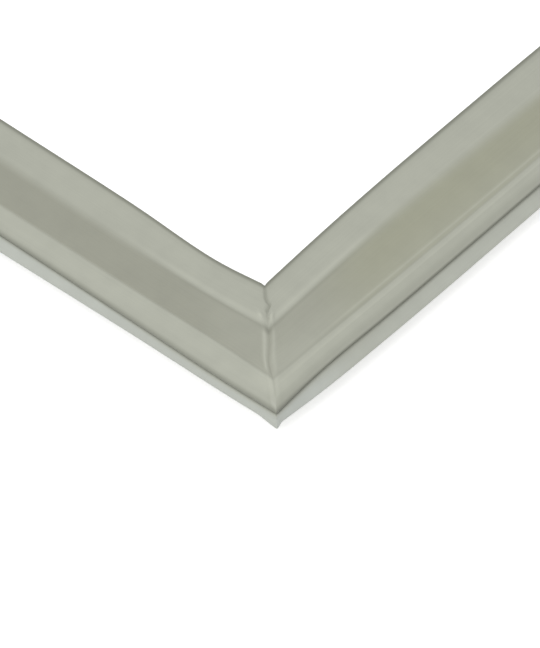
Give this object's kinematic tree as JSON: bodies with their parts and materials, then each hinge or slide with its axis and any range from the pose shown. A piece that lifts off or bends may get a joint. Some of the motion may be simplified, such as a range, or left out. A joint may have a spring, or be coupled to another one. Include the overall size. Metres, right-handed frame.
{
  "type": "refrigerator door gasket",
  "caption": "Refrigerator door gasket: a mitred and welded loop of soft hollow profile with magnetic strips inside, a sealing fin and a push-in dart.",
  "frame": {"origin": "under the middle of the loop, on the plane that the dart tips rest on", "axes": "+X across the door, +Y up the height of the door, +Z out of the sealing face"},
  "size_m": [0.5, 0.65, 0.0155],
  "materials": {
    "soft_pvc": "satin extruded soft PVC, grey-green",
    "ferrite_rubber": "matt flexible ferrite magnet, dark brown"
  },
  "bodies": {
    "root": {"bottom_profile": "soft_pvc", "bottom_magnet_strip": "ferrite_rubber", "handle_side_profile": "soft_pvc", "handle_side_magnet_strip": "ferrite_rubber", "top_profile": "soft_pvc", "top_magnet_strip": "ferrite_rubber", "hinge_side_profile": "soft_pvc", "hinge_side_magnet_strip": "ferrite_rubber"}
  },
  "joints": []
}
